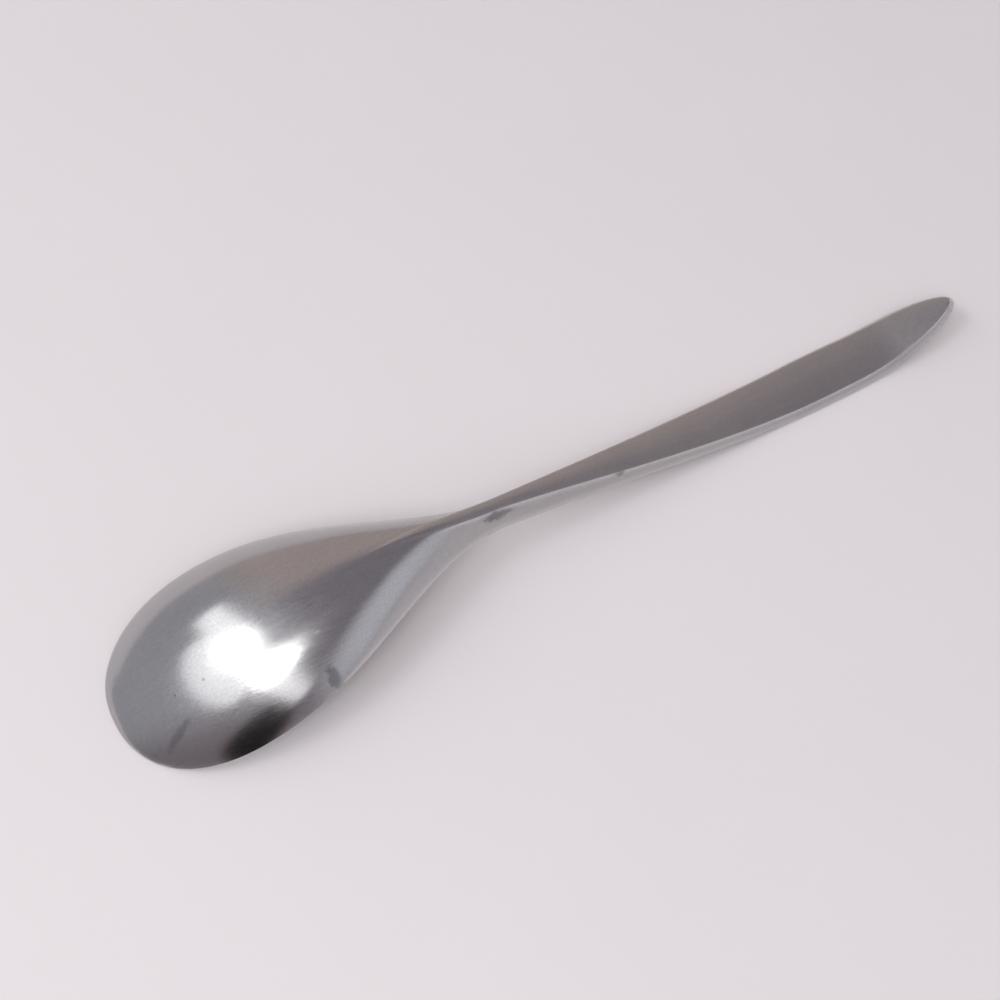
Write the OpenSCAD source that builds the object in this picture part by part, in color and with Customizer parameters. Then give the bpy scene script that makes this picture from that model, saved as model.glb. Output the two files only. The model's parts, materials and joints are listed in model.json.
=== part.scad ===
// Place spoon of pressed stainless steel, lying face down with the back of its bowl up.
// X runs along the spoon from the front of the bowl to the end of the handle, and Z is up.
// The origin is on the table, under the middle of the spoon's length. Sizes are in millimetres.

/* [Spoon] */
// Length over all, from the front of the bowl to the end of the handle
spoon_length = 175; // [150:1:210]
// Rounding of the lower edge, all round the spoon
edge_round = 0.4; // [0.1:0.05:0.6]

/* [Bowl] */
// Width of the bowl at its widest place
bowl_width = 36.2; // [28:0.2:46]
// From the front of the bowl to its widest place
bowl_wide_at = 23; // [16:0.5:32]
// Height of the bowl's back over its rim, at the crown
bowl_height = 9; // [6:0.2:14]
// From the front of the bowl to the crown of its back
bowl_crown_at = 30; // [22:0.5:38]
// Thickness of the bowl at the crown
bowl_wall = 1.4; // [0.8:0.1:2.4]
// Width of the rim between the back and the hollow
rim_width = 1.1; // [0.8:0.1:2]
// Length of the front of the rim that lies on the table
rim_rest = 3; // [1:0.5:6]
// From the front of the bowl to the end of the hollow
hollow_end = 62; // [54:1:68]
// Length over which the end of the hollow is rounded off
hollow_round = 18; // [10:1:22]

/* [Neck] */
// From the front of the bowl to the narrowest place of the neck
neck_at = 75.5; // [72:0.5:90]
// Width of the neck at its narrowest place
neck_width = 6; // [4.5:0.1:9]
// Thickness of the neck at its narrowest place
neck_thickness = 4.6; // [2.6:0.1:6]
// Width of the slanted side of the neck, seen from above
neck_bevel = 1.7; // [0.6:0.1:2]
// Length of the neck piece behind its narrowest place
neck_tail = 20; // [10:1:30]
// Solid length of the bowl piece between the end of the hollow and the neck piece
hollow_web = 2; // [1:0.5:4]
// From the front of the bowl to the point of the ridge on its back
ridge_at = 48; // [40:1:60]
// From the front of the bowl to the highest place of the underside
arch_at = 60; // [52:1:70]
// Height of the underside over the table at that place
arch_height = 10.2; // [6:0.1:14]

/* [Handle] */
// Width of the handle at its widest place
handle_width = 11.4; // [8:0.1:18]
// From the widest place of the handle to its end
handle_end = 31.5; // [20:0.5:45]
// Thickness of the handle at the creases of its back
handle_thickness = 2.2; // [1.4:0.1:3.2]
// Thickness of the handle at its end
tip_thickness = 1.9; // [1.2:0.1:2.8]
// Width of the slanted side of the handle, seen from above
handle_bevel = 0.9; // [0.3:0.1:1.4]
// Width of the slanted side at the end of the handle, seen from above
tip_bevel = 1.1; // [0.6:0.1:2.4]
// Swelling of the handle's back between its creases
back_crown = 0.25; // [0:0.05:0.6]
// Length of the flat land under the handle, which rests on the table
land_length = 12; // [6:1:20]
// From the flat land to the end of the handle
land_to_end = 23; // [16:1:34]
// Height of the underside over the table at the end of the handle
tip_lift = 5.9; // [2:0.1:10]
// Length of the bend between the flat land and the straight end of the handle
end_bend = 10; // [2:1:16]

/* [Hidden] */

// Places along the spoon, from the front of the bowl
neck_start = hollow_end + hollow_web;
handle_start = neck_at + neck_tail;
handle_wide_at = spoon_length - handle_end;
land_end = spoon_length - land_to_end;
land_start = land_end - land_length;

// Half the width of the small flats at the front of the bowl and at the end of the handle
nose = 0.2;

// Powers of the outline: round front of the bowl, its long shoulder, the swell and the end of the handle
front_powers = [2.2, 1 / 2.2];
shoulder_powers = [2, 2];
swell_powers = [1.4, 1.4];
end_powers = [3, 1 / 1.75];

// Powers of the heights: rise of the rim, fall of the handle, and thinning of the bowl and of the neck
rim_powers = [1.2, 2];
fall_powers = [1.6, 1.7];
bowl_thin_powers = [3, 2];
neck_thin_powers = [1.2, 3];

// Arcs of the bowl: share of the arc's radius that lies under the rim, lengthwise and from side to side
profile_sunk = 0.25;
dome_sunk = 0.6;
// Powers of the ridge's growth from its point on the bowl to the neck, and of its first, soft sides
ridge_powers = [1.3, 2.5];
soft_side_power = 2;

// Columns of faces from side to side, with the bevels' share on each side, and rows of faces in each piece
columns = 20;
bevel_columns = 4;
bowl_rows = 38;
neck_rows = 12;
handle_rows = 22;
end_rows = 12;
// Share of the bowl's half width that the columns between the bevels take
middle_share = 0.55;
// How much closer together the outer columns lie towards the bowl's rim
rim_crowding = 0.5;

function clamp(t) = min(max(t, 0), 1);
function ease(t) = let (u = clamp(t)) u * u * (3 - 2 * u);
function mix(a, b, t) = a + (b - a) * t;
// Curve from 0 to 1 that leaves with one power and arrives with the other
function sweep(t, powers) = 1 - pow(1 - pow(clamp(t), powers[0]), powers[1]);
// How far a place lies between two others
function along(s, from, to) = (s - from) / (to - from);
// Round start of an outline, at its full size where t reaches 1
function round_start(t, powers) = pow(1 - pow(1 - clamp(t), powers[0]), powers[1]);

// Arc from 1 at its crown, where v is 0, to 0 at its rim, where v is 1
function arc(v, sunk) = (sqrt(1 - (1 - sunk * sunk) * v * v) - sunk) / (1 - sunk);

// Half the width of the spoon at a distance s from the front of the bowl
function half_width(s) =
    s < bowl_wide_at ? mix(nose, bowl_width / 2, round_start(s / bowl_wide_at, front_powers)) :
    s < neck_at ? mix(bowl_width, neck_width, sweep(along(s, bowl_wide_at, neck_at), shoulder_powers)) / 2 :
    s < handle_wide_at ?
        mix(neck_width, handle_width, sweep(along(s, neck_at, handle_wide_at), swell_powers)) / 2 :
    mix(nose, handle_width / 2, pow(1 - pow(into_end(s), end_powers[0]), end_powers[1]));

// Rise of a bend and of the straight slope after it, at a distance d from where the bend begins
function bent_rise(d) = d < end_bend ? d * d / (2 * end_bend) : d - end_bend / 2;
// Height of the underside over the table
function under_z(s) =
    s < arch_at ? arch_height * sweep(along(s, rim_rest, arch_at), rim_powers) :
    s < land_start ? arch_height * (1 - sweep(along(s, arch_at, land_start), fall_powers)) :
    tip_lift * bent_rise(max(s - land_end, 0)) / bent_rise(land_to_end);

// Height of the back over the underside
function back_height(s) =
    s < bowl_crown_at ? mix(edge_round, bowl_height, arc(1 - s / bowl_crown_at, profile_sunk)) :
    s < neck_at ?
        mix(bowl_height, neck_thickness, sweep(along(s, bowl_crown_at, neck_at), bowl_thin_powers)) :
    mix(neck_thickness, end_thickness(s), sweep(along(s, neck_at, land_start), neck_thin_powers));
// Thickness of the handle, which thins towards its end
function end_thickness(s) = mix(handle_thickness, tip_thickness, ease(into_end(s)));

// The flat back of the handle begins as a ridge on the bowl: 0 at its point, 1 from the neck on
function ridge(s) = sweep(along(s, ridge_at, neck_at), ridge_powers);
// How far a place lies into the rounded end of the handle
function into_end(s) = clamp(along(s, handle_wide_at, spoon_length));
// Width of the slanted side, seen from above
function bevel(s) = s < handle_wide_at
    ? mix(neck_bevel, handle_bevel, sweep(along(s, neck_at, land_start), neck_thin_powers))
    : mix(handle_bevel, tip_bevel, ease(into_end(s)));
// Half the width of the flat back between its two creases
function crease_y(s) =
    s < neck_at ? (neck_width / 2 - neck_bevel) * ridge(s) :
    s < handle_wide_at ? half_width(s) - bevel(s) :
    half_width(s) * (1 - 2 * bevel(s) / handle_width);
// The crease ends short of the handle's end by the bevel
function crease_shift(s) = bevel(s) * into_end(s);

// Point of the back at the distance s, where v runs from -1 at one edge to 1 at the other
function back_point(s, v) =
    let (
        width = half_width(s),
        crease = crease_y(s),
        line = s < neck_at ? max(crease, width * middle_share * (1 - ridge(s))) : crease,
        split = 1 - 2 * bevel_columns / columns,
        side = abs(v) > split ? (abs(v) - split) / (1 - split) : 0,
        reach = side * (1 + rim_crowding * (1 - side) * (1 - ridge(s))),
        y = side > 0 ? sign(v) * mix(line, width, reach) : line * v / split,
        slant = clamp((abs(y) - crease) / (width - crease)),
        flat_side = 1 - pow(slant, mix(soft_side_power, 1, ridge(s))),
        dome = mix(arc(slant, dome_sunk), flat_side, ridge(s)),
        swell = back_crown * ridge(s) * (crease > 0 ? clamp(1 - pow(y / crease, 2)) : 0),
        x = s - crease_shift(s) * (1 - slant)
    )
    [x - spoon_length / 2, y, under_z(x) + mix(edge_round, back_height(s), dome) + swell];

// Point of the flat underside
function under_point(s, v) =
    [s - spoon_length / 2, v * max(half_width(s) - edge_round, nose / 2), under_z(s)];

// The hollow of the bowl: half its width, its depth and a point of it
function hollow_close(s) = 1 - pow(clamp(along(s, hollow_end - hollow_round, hollow_end)), 2);
function hollow_half_width(s) = s < bowl_wide_at
    ? mix(nose, bowl_width / 2 - rim_width,
          round_start(along(s, rim_width, bowl_wide_at), front_powers))
    : max((half_width(s) - rim_width) * sqrt(hollow_close(s)), nose);
function hollow_depth(s) = s < bowl_crown_at
    ? (bowl_height - bowl_wall) * arc(1 - along(s, rim_width, bowl_crown_at), profile_sunk)
    : (back_height(s) - bowl_wall) * hollow_close(s);
function hollow_point(s, v) =
    [s - spoon_length / 2, v * hollow_half_width(s), under_z(s) + hollow_depth(s) * arc(v, dome_sunk)];

// Places of the columns, from -1 to 1; those of the hollow lie closer together towards its rim
sides = [for (j = [0 : columns]) 2 * j / columns - 1];
hollow_sides = [for (v = sides) sin(90 * v)];

// A ring runs over the back from one edge to the other, and returns along the underside
function back_row(s) = [for (v = sides) back_point(s, v)];
function under_row(s) = [for (j = [columns : -1 : 0]) under_point(s, sides[j])];
function hollow_row(s) = [for (j = [columns : -1 : 0]) hollow_point(s, hollow_sides[j])];
function solid_ring(s) = concat(back_row(s), under_row(s));

// Closed skin over a list of rings, with flat ends
module skin(rings) {
    ring = 2 * (columns + 1);
    last = (len(rings) - 1) * ring;
    walls = [
        for (i = [0 : len(rings) - 2], k = [0 : ring - 1])
            let (a = i * ring + k, b = i * ring + (k + 1) % ring)
            each [[a, b, a + ring], [b, b + ring, a + ring]]
    ];
    ends = [
        for (j = [0 : columns - 1])
            let (a = j, b = j + 1, c = ring - 2 - j, d = ring - 1 - j)
            each [[a, d, b], [b, d, c], [last + a, last + b, last + d], [last + b, last + c, last + d]]
    ];
    polyhedron(points = [for (r = rings) each r], faces = concat(walls, ends));
}

// Hollow bowl with its rim, as far as the neck
module bowl() {
    shares = [for (i = [0 : bowl_rows]) (1 - cos(180 * i / bowl_rows)) / 2];
    shell = [for (t = shares) concat(back_row(hollow_end * t), hollow_row(mix(rim_width, hollow_end, t)))];
    color("#a3a19c") skin(concat(shell, [solid_ring(neck_start)]));
}

// Thick neck that carries the ridge from the bowl to the handle
module neck() {
    places = [for (i = [0 : neck_rows]) mix(neck_start, handle_start, i / neck_rows)];
    color("#98938c") skin([for (s = places) solid_ring(s)]);
}

// Flat handle with slanted sides and a leaf-shaped end
module handle() {
    shaft = [for (i = [0 : handle_rows - 1]) mix(handle_start, handle_wide_at, i / handle_rows)];
    end = [for (i = [0 : end_rows]) handle_wide_at + handle_end * sin(90 * i / end_rows)];
    color("#8f8a84") skin([for (s = concat(shaft, end)) solid_ring(s)]);
}

bowl();
neck();
handle();
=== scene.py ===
"""Looks of a place spoon of worn stainless steel, lying face down with the back of its bowl up."""
import json
import math

import bpy
import numpy as np
from mathutils import Matrix, Vector


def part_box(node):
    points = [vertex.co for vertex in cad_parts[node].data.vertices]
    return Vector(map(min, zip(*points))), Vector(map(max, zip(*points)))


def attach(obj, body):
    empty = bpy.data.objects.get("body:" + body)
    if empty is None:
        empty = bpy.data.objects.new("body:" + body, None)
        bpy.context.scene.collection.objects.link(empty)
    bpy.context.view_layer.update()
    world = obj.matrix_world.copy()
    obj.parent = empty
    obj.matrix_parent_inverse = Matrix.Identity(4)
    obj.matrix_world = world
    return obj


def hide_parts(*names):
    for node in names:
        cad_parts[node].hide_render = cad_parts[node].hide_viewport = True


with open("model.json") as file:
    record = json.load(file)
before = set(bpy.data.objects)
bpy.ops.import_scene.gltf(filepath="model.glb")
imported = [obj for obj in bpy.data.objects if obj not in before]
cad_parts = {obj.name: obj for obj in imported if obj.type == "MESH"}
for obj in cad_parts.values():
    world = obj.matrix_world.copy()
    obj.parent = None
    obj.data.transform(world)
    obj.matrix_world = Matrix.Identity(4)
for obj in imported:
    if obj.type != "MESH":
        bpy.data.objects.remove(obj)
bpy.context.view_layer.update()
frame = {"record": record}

MM = 0.001

# Sizes that the frame gives, in metres; s is the distance from the front of the bowl
bowl_low, bowl_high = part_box("bowl")
handle_low, handle_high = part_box("handle")
front_x = bowl_low.x
spoon_length = handle_high.x - front_x
bowl_width = bowl_high.y - bowl_low.y
handle_width = handle_high.y - handle_low.y
neck_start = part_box("neck")[0].x - front_x
handle_start = handle_low.x - front_x

# Sizes of the construction, repeated from the part's source
edge_round = 0.4 * MM
nose = 0.2 * MM
bowl_wide_at = 23 * MM
bowl_height = 9 * MM
bowl_crown_at = 30 * MM
bowl_wall = 1.4 * MM
rim_width = 1.1 * MM
rim_rest = 3 * MM
hollow_end = 62 * MM
hollow_round = 18 * MM
neck_at = 75.5 * MM
neck_width = 6 * MM
neck_thickness = 4.6 * MM
neck_bevel = 1.7 * MM
ridge_at = 48 * MM
arch_at = 60 * MM
arch_height = 10.2 * MM
handle_thickness = 2.2 * MM
tip_thickness = 1.9 * MM
handle_bevel = 0.9 * MM
tip_bevel = 1.1 * MM
back_crown = 0.25 * MM
land_start = 140 * MM
land_end = 152 * MM
tip_lift = 5.9 * MM
end_bend = 10 * MM
handle_wide_at = 143.5 * MM

# Powers of the outline, the heights, the bowl's section and the ridge
front_powers = (2.2, 1 / 2.2)
shoulder_powers = (2, 2)
swell_powers = (1.4, 1.4)
end_powers = (3, 1 / 1.75)
rim_powers = (1.2, 2)
fall_powers = (1.6, 1.7)
bowl_thin_powers = (3, 2)
neck_thin_powers = (1.2, 3)
ridge_powers = (1.3, 2.5)
soft_side_power = 2

# Arcs of the bowl: share of the arc's radius that lies under the rim, lengthwise and from side to side
profile_sunk = 0.25
dome_sunk = 0.6

# The lower edge leans with the outline up to the back of the bowl, and again on the end of the handle
bowl_lean_fades = (50 * MM, 61 * MM)
end_lean_grows = (141 * MM, 152 * MM)

# Fine rounding that only the looks need; a crease takes at most a share of the slanted side beside it
crease_round = 0.18 * MM
crease_share = 0.4
rest_round = 1.6 * MM
lip_round = 0.15 * MM
lip_pull = 0.3
lip_lift = 0.2

# Half widths of the worn lines along the rim and along the creases
rim_wear = 0.35 * MM
crease_wear = 0.25 * MM

# Steps of the calculation: to the ring beyond a joint of two pieces, and along an outline for its slope
joint_step = 0.4 * MM
slope_step = 0.01 * MM

# Columns and rows of the dense meshes; on the bowl the middle columns take a share of the width
MIDDLE_COLUMNS = 48
MIDDLE_SHARE = 0.55
SIDE_COLUMNS = 26
EDGE_COLUMNS = 6
HOLLOW_COLUMNS = 64
UNDER_POINTS = HOLLOW_COLUMNS + 3
LIP_POINTS = 3
BOWL_ROWS = 150
WEB_ROWS = 5
NECK_ROWS = 70
SHAFT_ROWS = 90
END_ROWS = 80

# Stains and nicks of the back in millimetres: s, y, half length, half width, turn in degrees, strength
BOWL_MARKS = [
    (36.4, -14.6, 1.4, 2.0, 10, 0.5),
    (9.0, -9.4, 3.6, 0.9, 18, 0.3),
    (16.5, -4.5, 0.42, 0.38, 0, 0.4),
    (11.1, -3.8, 0.25, 0.25, 0, 0.4),
]
NECK_MARKS = [
    (75.0, -1.7, 3.6, 0.5, 0, 0.55),
]
HANDLE_MARKS = [
    (100.0, -2.8, 1.1, 0.3, 0, 0.45),
]

# Noise patterns of the steel, with their scale per metre; brushing and scratches run along the spoon
PATTERNS = {
    "cloud": {"scale": 90.0, "detail": 4.0},
    "brushing": {"scale": 1.0, "detail": 3.0, "stretch": (45, 2600, 2600)},
    "grain": {"scale": 2600.0, "detail": 2.0},
}
SCRATCH_PATTERN = {"scale": 1.0, "detail": 1.0, "stretch": (70, 2100, 2100)}
SCRATCH_TURNS = (14.0, -9.0)
SCRATCH_EDGE = (0.70, 0.78)
RAGGED_PATTERN = {"scale": 900.0, "detail": 3.0}
RAGGED_REACH = 1.2

# Pits lie in a few of the cells of a cell pattern, and marks fade from their middle to their edge
PIT_CELLS = 240.0
PIT_CHOICE = (0.90, 0.91)
PIT_EDGE = (0.05, 0.02)
PIT_STRENGTH = 0.6
MARK_EDGE = (1.15, 0.35)
MARK_FACES_UP = (0.0, 0.1)
DIRT = (0.05, 0.05, 0.06, 1)

# Weights of the patterns in the steel's brightness, roughness and relief, each over a plain value
SHADE = {"plain": 0.55, "cloud": 0.12, "brushing": 0.12, "wear": 0.22, "grain": 0.20}
ROUGHNESS = {"plain": 0.12, "to_neck": 0.14, "cloud": 0.06, "brushing": 0.05, "scratch": 0.06, "wear": -0.04}
RELIEF = {"plain": 0.0, "grain": 0.35, "brushing": 0.7, "scratch": -0.05, "pit": -0.5}
RELIEF_STRENGTH = 0.35
RELIEF_HEIGHT = 0.02 * MM

# Stretches round the two joints of the pieces over which colour and polish change
neck_change = (neck_start - 12 * MM, neck_start + 8 * MM)
handle_change = (handle_start - 10 * MM, handle_start + 10 * MM)

# Camera: angles in degrees, distance from the point that it looks at, focal length over sensor width,
# and how far the picture's middle lies from the frame's origin
CAMERA_ELEVATION = 63.0
CAMERA_HEADING = 61.5
CAMERA_DISTANCE = 0.3686
CAMERA_LENS_SHARE = 2.0
AIM_LEFT = 9.53 * MM
AIM_UP = 1.84 * MM

# Floor: half its side, its two tints and the pattern between them
FLOOR_REACH = 3.0
FLOOR_TINTS = ((0.845, 0.81, 0.817, 1), (0.87, 0.835, 0.842, 1))
FLOOR_PATTERN = {"scale": 25.0, "detail": 3.0}
FLOOR_ROUGHNESS = 0.6

# Soft boxes over the spoon: name, centre, size, turn in degrees, radiance, shape
LAMPS = [
    ("strip", (-0.53, -0.27, 1.02), (0.30, 3.6), 12.0, 1.55, "RECTANGLE"),
    ("glow", (-0.95, 0.15, 1.01), (0.5, 1.5), 10.0, 1.15, "ELLIPSE"),
    ("lobe_a", (-0.63, 0.20, 0.99), (0.18, 0.54), 12.0, 6.8, "ELLIPSE"),
    ("lobe_b", (-0.43, -0.47, 0.99), (0.27, 0.52), 15.0, 8.7, "ELLIPSE"),
]

# Grey studio: each zone of walls and cards has an azimuth, elevation, inner angle, outer angle and colour
CEILING = (0.30, 0.272, 0.307, 1)
ZONES = [
    (90, -20, 69, 93, (0.565, 0.48, 0.462, 1)),
    (185, -14, 84, 94, (0.48, 0.474, 0.516, 1)),
    (232, -9, 28, 70, (0.275, 0.235, 0.258, 1)),
    (352, 21, 14, 24, (1.0, 0.97, 0.96, 1)),
    (302, 20, 4, 31, (0.78, 0.78, 0.84, 1)),
    (247, 21, 12, 19.5, (0.004, 0.003, 0.003, 1)),
]


def clamp(t):
    return np.clip(t, 0.0, 1.0)


def ease(t):
    u = clamp(t)
    return u * u * (3 - 2 * u)


def mix(a, b, t):
    return a + (b - a) * t


def sweep(t, powers):
    """Curve from 0 to 1 that leaves with one power and arrives with the other."""
    return 1 - (1 - clamp(t) ** powers[0]) ** powers[1]


def along(s, start, end):
    return (s - start) / (end - start)


def round_start(t, powers):
    """Round start of an outline, at its full size where t reaches 1."""
    return (1 - (1 - clamp(t)) ** powers[0]) ** powers[1]


def arc(v, sunk):
    """Arc from 1 at its crown, where v is 0, to 0 at its rim, where v is 1."""
    return (np.sqrt(1 - (1 - sunk * sunk) * v * v) - sunk) / (1 - sunk)


def soft_ramp(distance, radius):
    """0 before the corner and the distance after it, with the corner rounded over the radius both ways."""
    bend = (distance + radius) ** 2 / (4 * radius)
    return np.where(distance < -radius, 0.0, np.where(distance > radius, distance, bend))


def into_end(s):
    return clamp(along(s, handle_wide_at, spoon_length))


def half_width(s):
    if s < bowl_wide_at:
        return mix(nose, bowl_width / 2, round_start(s / bowl_wide_at, front_powers))
    if s < neck_at:
        return mix(bowl_width, neck_width, sweep(along(s, bowl_wide_at, neck_at), shoulder_powers)) / 2
    if s < handle_wide_at:
        return mix(neck_width, handle_width, sweep(along(s, neck_at, handle_wide_at), swell_powers)) / 2
    return mix(nose, handle_width / 2, (1 - into_end(s) ** end_powers[0]) ** end_powers[1])


def bent_rise(d):
    """Rise of a bend and of the straight slope after it, at a distance d from where the bend begins."""
    return np.where(d < end_bend, d * d / (2 * end_bend), d - end_bend / 2)


def under_z(s):
    """Height of the underside over the table, for one place or for many."""
    rim_way = soft_ramp(s - rim_rest, rest_round) / (arch_at - rim_rest)
    rim = arch_height * sweep(rim_way, rim_powers)
    fall = arch_height * (1 - sweep(along(s, arch_at, land_start), fall_powers))
    lift = tip_lift * bent_rise(np.maximum(s - land_end, 0)) / bent_rise(spoon_length - land_end)
    return np.where(s < arch_at, rim, np.where(s < land_start, fall, lift))


def back_height(s):
    """Height of the back over the underside."""
    if s < bowl_crown_at:
        return mix(edge_round, bowl_height, arc(1 - s / bowl_crown_at, profile_sunk))
    if s < neck_at:
        return mix(bowl_height, neck_thickness, sweep(along(s, bowl_crown_at, neck_at), bowl_thin_powers))
    end_thickness = mix(handle_thickness, tip_thickness, ease(into_end(s)))
    return mix(neck_thickness, end_thickness, sweep(along(s, neck_at, land_start), neck_thin_powers))


def ridge(s):
    """The flat back of the handle begins as a ridge on the bowl: 0 at its point, 1 from the neck on."""
    return sweep(along(s, ridge_at, neck_at), ridge_powers)


def bevel(s):
    """Width of the slanted side beside the flat back."""
    if s < handle_wide_at:
        return mix(neck_bevel, handle_bevel, sweep(along(s, neck_at, land_start), neck_thin_powers))
    return mix(handle_bevel, tip_bevel, ease(into_end(s)))


def crease_y(s):
    """Half the width of the flat back between its two creases."""
    if s < neck_at:
        return (neck_width / 2 - neck_bevel) * ridge(s)
    if s < handle_wide_at:
        return half_width(s) - bevel(s)
    return half_width(s) * (1 - 2 * bevel(s) / handle_width)


def hollow_close(s):
    """1 along the hollow, falling to 0 where it closes at its back."""
    return 1 - clamp(along(s, hollow_end - hollow_round, hollow_end)) ** 2


def hollow_half_width(s):
    if s < bowl_wide_at:
        widening = round_start(along(s, rim_width, bowl_wide_at), front_powers)
        return mix(nose, bowl_width / 2 - rim_width, widening)
    return max((half_width(s) - rim_width) * math.sqrt(hollow_close(s)), nose)


def hollow_depth(s):
    if s < bowl_crown_at:
        return (bowl_height - bowl_wall) * arc(1 - clamp(along(s, rim_width, bowl_crown_at)), profile_sunk)
    return (back_height(s) - bowl_wall) * hollow_close(s)


def plan_normal(outline, s, low, high):
    """Outward direction of an outline seen from above, on its +Y side."""
    before = max(s - slope_step, low)
    after = min(s + slope_step, high)
    slope = (outline(after) - outline(before)) / (after - before)
    return np.array([-slope, 1.0]) / math.hypot(slope, 1.0)


def edge_normal(s):
    """The lower edge leans with the outline at both ends of the spoon, and points sideways between them."""
    lean = 1 - ease(along(s, *bowl_lean_fades)) + ease(along(s, *end_lean_grows))
    sideways = np.array([0.0, 1.0])
    normal = mix(sideways, plan_normal(half_width, s, 0.0, spoon_length), lean)
    return normal / np.linalg.norm(normal)


def points(s, y, z):
    s, y, z = np.broadcast_arrays(s, y, z)
    return np.stack([front_x + s, y, z], axis=-1)


def back_row(s):
    """Points of the back from the -Y edge to the +Y edge, and how worn each of them is."""
    width, crease, grown = half_width(s), crease_y(s), ridge(s)
    line = max(crease, width * MIDDLE_SHARE * (1 - grown)) if s < neck_at else crease
    middle = line * np.sin(np.linspace(-1, 1, MIDDLE_COLUMNS + 1) * math.pi / 2)
    side = mix(line, width, (1 - np.cos(np.linspace(0, 1, SIDE_COLUMNS + 1) * math.pi)) / 2)[1:]
    y = np.concatenate([-side[::-1], middle, side])
    radius = min(crease_round, crease_share * (width - crease))
    slant = clamp(soft_ramp(np.abs(y) - crease, radius) / (width - crease))
    flat_side = 1 - slant ** mix(soft_side_power, 1, grown)
    dome = mix(arc(slant, dome_sunk), flat_side, grown)
    swell = back_crown * grown * clamp(1 - (y / crease) ** 2) if crease > 0 else 0.0
    x = s - bevel(s) * into_end(s) * (1 - slant)
    worn_rim = np.exp(-(((width - np.abs(y)) / rim_wear) ** 2))
    worn_crease = grown * np.exp(-(((np.abs(y) - crease) / crease_wear) ** 2))
    z = under_z(x) + mix(edge_round, back_height(s), dome) + swell
    return points(x, y, z), np.maximum(worn_rim, worn_crease)


def edge_row(s):
    """Quarter round of the lower edge on the +Y side, from the back to the underside."""
    normal = edge_normal(s)
    turn = np.linspace(0, 1, EDGE_COLUMNS + 1)[1:] * math.pi / 2
    inward = edge_round * (1 - np.cos(turn))
    x = s - normal[0] * inward
    y = np.maximum(half_width(s) - normal[1] * inward, nose / 2)
    return points(x, y, under_z(x) + edge_round * (1 - np.sin(turn)))


def hollow_row(s):
    """Points of the hollow from its +Y edge to its -Y edge, with a lip outside each edge."""
    half, depth = hollow_half_width(s), hollow_depth(s)
    v = np.sin(np.linspace(1, -1, HOLLOW_COLUMNS + 1) * math.pi / 2)
    row = points(s, v * half, under_z(s) + depth * arc(v, dome_sunk))
    normal = plan_normal(hollow_half_width, s, rim_width, hollow_end)
    lip_x, lip_y = s + normal[0] * lip_round, half + normal[1] * lip_round
    lip = points(lip_x, lip_y, under_z(lip_x))
    corner = lip_pull * (lip - row[0]) + np.array([0, 0, lip_lift * lip_round])
    row[0] += corner
    row[-1] += corner * [1, -1, 1]
    return np.concatenate([[lip], row, [lip * [1, -1, 1]]])


def under_row(s, last_edge):
    """Points of the flat underside from the +Y edge to the -Y edge, between the two rounded edges."""
    share = np.linspace(1, -1, UNDER_POINTS + 2)[1:-1]
    x = last_edge[0] - front_x
    return points(x, share * last_edge[1], under_z(x))


def ring(s, hollow_s=None):
    """One ring of points over the back and along the underside or the hollow, and the wear of each."""
    back, back_wear = back_row(s)
    edge = edge_row(s)
    edge_wear = np.ones(len(edge))
    under_wear = np.zeros(UNDER_POINTS)
    if hollow_s is None:
        under = under_row(s, edge[-1])
    else:
        under = hollow_row(hollow_s)
        under_wear[:LIP_POINTS] = under_wear[-LIP_POINTS:] = 1.0
    mirrored = edge[::-1] * [1, -1, 1]
    return (
        np.concatenate([back, edge, under, mirrored]),
        np.concatenate([back_wear, edge_wear, under_wear, edge_wear]),
    )


def smooth_normals(rings):
    """Normals of the points of a list of rings, from the faces round each point by their area."""
    grid = np.array([places for places, wear in rings])
    right = np.roll(grid, -1, axis=1)
    faces = np.cross(right[1:] - grid[:-1], right[:-1] - grid[1:])
    faces += np.roll(faces, 1, axis=1)
    total = np.zeros_like(grid)
    total[:-1] += faces
    total[1:] += faces
    return total / np.linalg.norm(total, axis=-1, keepdims=True)


def end_faces(count, flat_top):
    """Faces across one ring, each between two points and their mirror images; the whole faces +X.
    The straight underside is one face with many corners, and so is a flat top."""
    rim = MIDDLE_COLUMNS // 2 + SIDE_COLUMNS
    foot = rim + EDGE_COLUMNS - 1
    right = [rim + k for k in range(count // 2 + 1)]
    left = [(rim - k) % count for k in range(count // 2 + 1)]
    rungs = [(right[k], left[k], left[k + 1], right[k + 1]) for k in range(1, foot)]
    upper = [(right[0], left[1], right[1]), *rungs]
    if flat_top:
        upper = [(*right[rim::-1], *left[1:rim + 2], right[rim + 1]), *rungs[rim:]]
    return [*upper, (right[foot], *left[foot:], *right[-2:foot:-1])]


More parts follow.
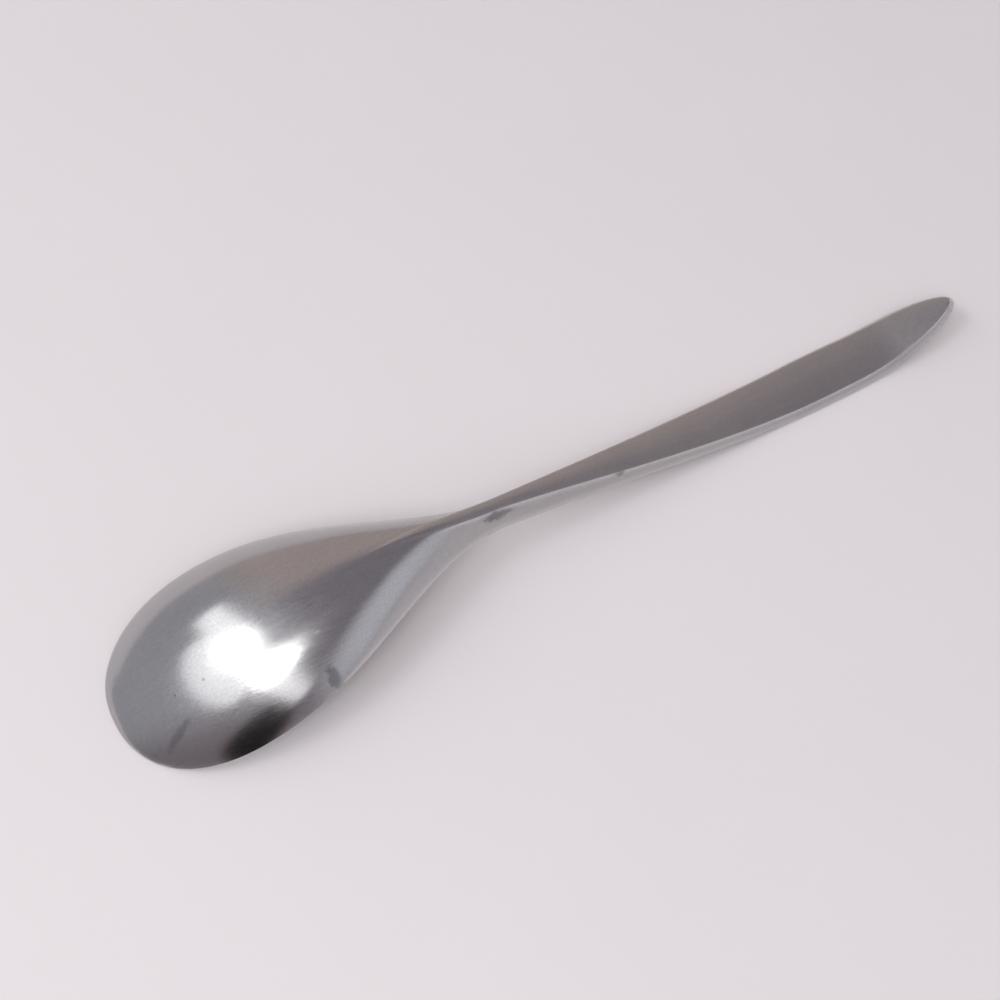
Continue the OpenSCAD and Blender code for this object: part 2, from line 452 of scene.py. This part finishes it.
def skin(name, rings, before=None, after=None):
    """Closed smooth mesh over a list of rings.
    A ring before or after belongs to the next piece: the shading runs on across that joint."""
    guides = [before] * (before is not None) + rings + [after] * (after is not None)
    first = 1 if before is not None else 0
    normals = smooth_normals(guides)[first:first + len(rings)].reshape(-1, 3)
    count = len(rings[0][0])
    vertices = np.concatenate([places for places, wear in rings])
    faces = []
    for row in range(len(rings) - 1):
        for k in range(count):
            a, b = row * count + k, row * count + (k + 1) % count
            faces.append((a, a + count, b + count, b))
    last = (len(rings) - 1) * count
    first_cap = [face[::-1] for face in end_faces(count, flat_top=before is None)]
    last_cap = [tuple(k + last for k in face) for face in end_faces(count, flat_top=False)]
    walls = 4 * len(faces)
    middle = walls + sum(len(face) for face in first_cap)
    faces += first_cap + last_cap
    mesh = bpy.data.meshes.new(name)
    mesh.from_pydata(vertices.tolist(), [], faces)
    mesh.polygons.foreach_set("use_smooth", np.ones(len(faces), dtype=bool))
    worn = mesh.attributes.new("wear", "FLOAT", "POINT")
    worn.data.foreach_set("value", np.concatenate([wear for places, wear in rings]).astype(np.float32))
    corners = np.empty(len(mesh.loops), dtype=np.int32)
    mesh.loops.foreach_get("vertex_index", corners)
    shading = normals[corners]
    if before is not None:
        shading[walls:middle] = (-1, 0, 0)
    if after is not None:
        shading[middle:] = (1, 0, 0)
    mesh.normals_split_custom_set(shading.tolist())
    piece = bpy.data.objects.new(name, mesh)
    bpy.context.scene.collection.objects.link(piece)
    return piece


def bowl_piece():
    shares = (1 - np.cos(np.linspace(0, 1, BOWL_ROWS + 1) * math.pi)) / 2
    rings = [ring(hollow_end * t, mix(rim_width, hollow_end, t)) for t in shares]
    rings += [ring(s) for s in np.linspace(hollow_end, neck_start, WEB_ROWS + 1)[1:]]
    return skin("spoon_bowl", rings, after=ring(neck_start + joint_step))


def neck_piece():
    rings = [ring(s) for s in np.linspace(neck_start, handle_start, NECK_ROWS + 1)]
    return skin("spoon_neck", rings, ring(neck_start - joint_step), ring(handle_start + joint_step))


def handle_piece():
    shaft = np.linspace(handle_start, handle_wide_at, SHAFT_ROWS + 1)[:-1]
    reach = spoon_length - handle_wide_at
    end = handle_wide_at + reach * np.sin(np.linspace(0, 1, END_ROWS + 1) * math.pi / 2)
    rings = [ring(s) for s in np.concatenate([shaft, end])]
    return skin("spoon_handle", rings, before=ring(handle_start - joint_step))


class Tree:
    """Shorthand for building a node tree."""

    def __init__(self, owner):
        owner.use_nodes = True
        self.nodes = owner.node_tree.nodes
        self.links = owner.node_tree.links
        self.nodes.clear()

    def add(self, kind, sockets=None, **settings):
        node = self.nodes.new("ShaderNode" + kind)
        for key, value in settings.items():
            setattr(node, key, value)
        for key, value in (sockets or {}).items():
            if isinstance(value, bpy.types.NodeSocket):
                self.links.new(value, node.inputs[key])
            else:
                node.inputs[key].default_value = value
        return node

    def math(self, operation, first, second=0.0, third=0.0):
        sockets = {0: first, 1: second, 2: third}
        return self.add("Math", sockets, operation=operation).outputs[0]

    def vector(self, operation, first, second):
        return self.add("VectorMath", {0: first, 1: second}, operation=operation).outputs[0]

    def turned(self, vector, degrees):
        sockets = {"Vector": vector, "Angle": math.radians(degrees)}
        return self.add("VectorRotate", sockets, rotation_type="Z_AXIS").outputs[0]

    def step(self, value, low, high):
        """Smooth step from 0 at low to 1 at high."""
        sockets = {"Value": value, "From Min": low, "From Max": high}
        return self.add("MapRange", sockets, interpolation_type="SMOOTHSTEP").outputs["Result"]

    def blend(self, factor, first, second):
        sockets = {"Factor": factor, 6: first, 7: second}
        return self.add("Mix", sockets, data_type="RGBA").outputs[2]

    def noise(self, vector, scale, detail, stretch=(1, 1, 1), turn=0.0):
        placed = self.add("Mapping", {"Vector": self.turned(vector, turn), "Scale": stretch}).outputs[0]
        sockets = {"Vector": placed, "Scale": scale, "Detail": detail}
        return self.add("TexNoise", sockets).outputs[0]

    def weigh(self, weights, layers):
        """Sum of a plain value and of the layers by their weights."""
        total = weights["plain"]
        for name, weight in weights.items():
            if name != "plain":
                total = self.math("MULTIPLY_ADD", layers[name], weight, total)
        return total


def scratches(tree, place):
    """Hair scratches in a few directions, 1 on each of them."""
    lines = [tree.noise(place, **SCRATCH_PATTERN, turn=turn) for turn in SCRATCH_TURNS]
    return tree.math("MAXIMUM", *[tree.step(line, *SCRATCH_EDGE) for line in lines])


def pits(tree, place):
    """Tiny pits in a few cells of a cell pattern."""
    cell = tree.add("TexVoronoi", {"Vector": place, "Scale": PIT_CELLS})
    chance = tree.add("SeparateColor", {0: cell.outputs["Color"]}).outputs[0]
    spot = tree.step(cell.outputs["Distance"], *PIT_EDGE)
    return tree.math("MULTIPLY", spot, tree.step(chance, *PIT_CHOICE))


def mark(tree, place, ragged, s, y, half_length, half_breadth, turn):
    """Soft, ragged patch of the back, 1 at its middle and 0 outside it."""
    centre = (front_x + s * MM, y * MM, 0.0)
    offset = tree.turned(tree.vector("SUBTRACT", place, centre), -turn)
    scaled = tree.vector("MULTIPLY", offset, (1 / (half_length * MM), 1 / (half_breadth * MM), 0.0))
    reach = tree.add("VectorMath", {0: scaled}, operation="LENGTH").outputs["Value"]
    return tree.step(tree.math("ADD", reach, ragged), *MARK_EDGE)


def stains(tree, place, marks):
    """All the marks of one piece, on the side that faces up."""
    ragged = tree.math("MULTIPLY_ADD", tree.noise(place, **RAGGED_PATTERN), RAGGED_REACH, -RAGGED_REACH / 2)
    stain = 0.0
    for *shape, strength in marks:
        patch = tree.math("MULTIPLY", mark(tree, place, ragged, *shape), strength)
        stain = tree.math("MAXIMUM", patch, stain)
    up = tree.add("SeparateXYZ", {0: tree.add("NewGeometry").outputs["Normal"]}).outputs["Z"]
    return tree.math("MULTIPLY", stain, tree.step(up, *MARK_FACES_UP))


def steel(slot, marks):
    """Worn polished steel, the same course of colour and polish along the whole spoon in every piece.
    It has fine brushing along the spoon, sparkling grain, cloudy wear, hair scratches, pits and stains."""
    tones = {entry["slot"]: (*entry["base_color"], 1.0) for entry in frame["record"]["materials"]}
    material = bpy.data.materials.new(slot)
    tree = Tree(material)
    place = tree.add("TexCoord").outputs["Object"]
    x = tree.add("SeparateXYZ", {0: place}).outputs["X"]
    to_neck, to_handle = [
        tree.step(x, front_x + start, front_x + end) for start, end in (neck_change, handle_change)
    ]
    layers = {name: tree.noise(place, **pattern) for name, pattern in PATTERNS.items()}
    layers["scratch"] = scratches(tree, place)
    layers["pit"] = pits(tree, place)
    layers["wear"] = tree.add("Attribute", attribute_name="wear").outputs["Fac"]
    layers["to_neck"] = to_neck

    tone = tree.blend(to_neck, tones["bowl_steel"], tones["neck_steel"])
    tone = tree.blend(to_handle, tone, tones["handle_steel"])
    shade = tree.weigh(SHADE, layers)
    base = tree.add("VectorMath", {0: tone, "Scale": shade}, operation="SCALE").outputs[0]
    pit_dirt = tree.math("MULTIPLY", layers["pit"], PIT_STRENGTH)
    dirt = tree.math("MAXIMUM", pit_dirt, stains(tree, place, marks))
    bump = tree.add("Bump", {
        "Strength": RELIEF_STRENGTH,
        "Distance": RELIEF_HEIGHT,
        "Height": tree.weigh(RELIEF, layers),
    })
    shader = tree.add("BsdfPrincipled", {
        "Base Color": tree.blend(dirt, base, DIRT),
        "Metallic": 1.0,
        "Roughness": tree.weigh(ROUGHNESS, layers),
        "Normal": bump.outputs[0],
    })
    tree.add("OutputMaterial", {"Surface": shader.outputs[0]})
    return material


def dress(piece, node, slot, marks):
    piece.data.materials.append(steel(slot, marks))
    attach(piece, "root")
    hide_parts(node)


def make_camera():
    elevation, heading = math.radians(CAMERA_ELEVATION), math.radians(CAMERA_HEADING)
    ahead = Vector((math.cos(heading), math.sin(heading), 0.0))
    right = Vector((math.sin(heading), -math.cos(heading), 0.0))
    forward = ahead * math.cos(elevation) - Vector((0, 0, math.sin(elevation)))
    up = ahead * math.sin(elevation) + Vector((0, 0, math.cos(elevation)))
    data = bpy.data.cameras.new("camera")
    data.lens = data.sensor_width * CAMERA_LENS_SHARE
    camera = bpy.data.objects.new("camera", data)
    turn = Matrix((right, up, -forward)).transposed().to_4x4()
    place = up * AIM_UP - right * AIM_LEFT - forward * CAMERA_DISTANCE
    camera.matrix_world = Matrix.Translation(place) @ turn
    bpy.context.scene.collection.objects.link(camera)
    bpy.context.scene.camera = camera


def make_floor():
    mesh = bpy.data.meshes.new("floor")
    signs = [(-1, -1), (1, -1), (1, 1), (-1, 1)]
    mesh.from_pydata([(a * FLOOR_REACH, b * FLOOR_REACH, 0) for a, b in signs], [], [(0, 1, 2, 3)])
    floor = bpy.data.objects.new("floor", mesh)
    bpy.context.scene.collection.objects.link(floor)
    material = bpy.data.materials.new("floor")
    tree = Tree(material)
    place = tree.add("TexCoord").outputs["Object"]
    tint = tree.blend(tree.noise(place, **FLOOR_PATTERN), *FLOOR_TINTS)
    shader = tree.add("BsdfPrincipled", {"Base Color": tint, "Roughness": FLOOR_ROUGHNESS})
    tree.add("OutputMaterial", {"Surface": shader.outputs[0]})
    mesh.materials.append(material)


def make_lamp(name, centre, size, turn, radiance, shape):
    """Soft box that faces down, with its brightness given as radiance."""
    data = bpy.data.lights.new(name, "AREA")
    data.shape = shape
    data.size, data.size_y = size
    area = size[0] * size[1] * (math.pi / 4 if shape == "ELLIPSE" else 1.0)
    data.energy = radiance * math.pi * area
    lamp = bpy.data.objects.new(name, data)
    lamp.location = centre
    lamp.rotation_euler = (0, 0, math.radians(turn))
    bpy.context.scene.collection.objects.link(lamp)


def direction(azimuth, elevation):
    """Unit vector, with azimuth in degrees from +X towards +Y."""
    a, e = math.radians(azimuth), math.radians(elevation)
    return Vector((math.cos(a) * math.cos(e), math.sin(a) * math.cos(e), math.sin(e)))


def make_world():
    world = bpy.data.worlds.new("studio")
    bpy.context.scene.world = world
    tree = Tree(world)
    ray = tree.add("TexCoord").outputs["Generated"]
    colour = CEILING
    for azimuth, elevation, inner, outer, tint in ZONES:
        sockets = {0: ray, 1: direction(azimuth, elevation)}
        product = tree.add("VectorMath", sockets, operation="DOT_PRODUCT").outputs["Value"]
        near = tree.step(product, math.cos(math.radians(outer)), math.cos(math.radians(inner)))
        colour = tree.blend(near, colour, tint)
    background = tree.add("Background", {"Color": colour, "Strength": 1.0})
    tree.add("OutputWorld", {"Surface": background.outputs[0]})


make_camera()
dress(bowl_piece(), "bowl", "bowl_steel", BOWL_MARKS)
dress(neck_piece(), "neck", "neck_steel", NECK_MARKS)
dress(handle_piece(), "handle", "handle_steel", HANDLE_MARKS)
make_floor()
for lamp in LAMPS:
    make_lamp(*lamp)
make_world()

bpy.context.scene.view_settings.view_transform = "Standard"
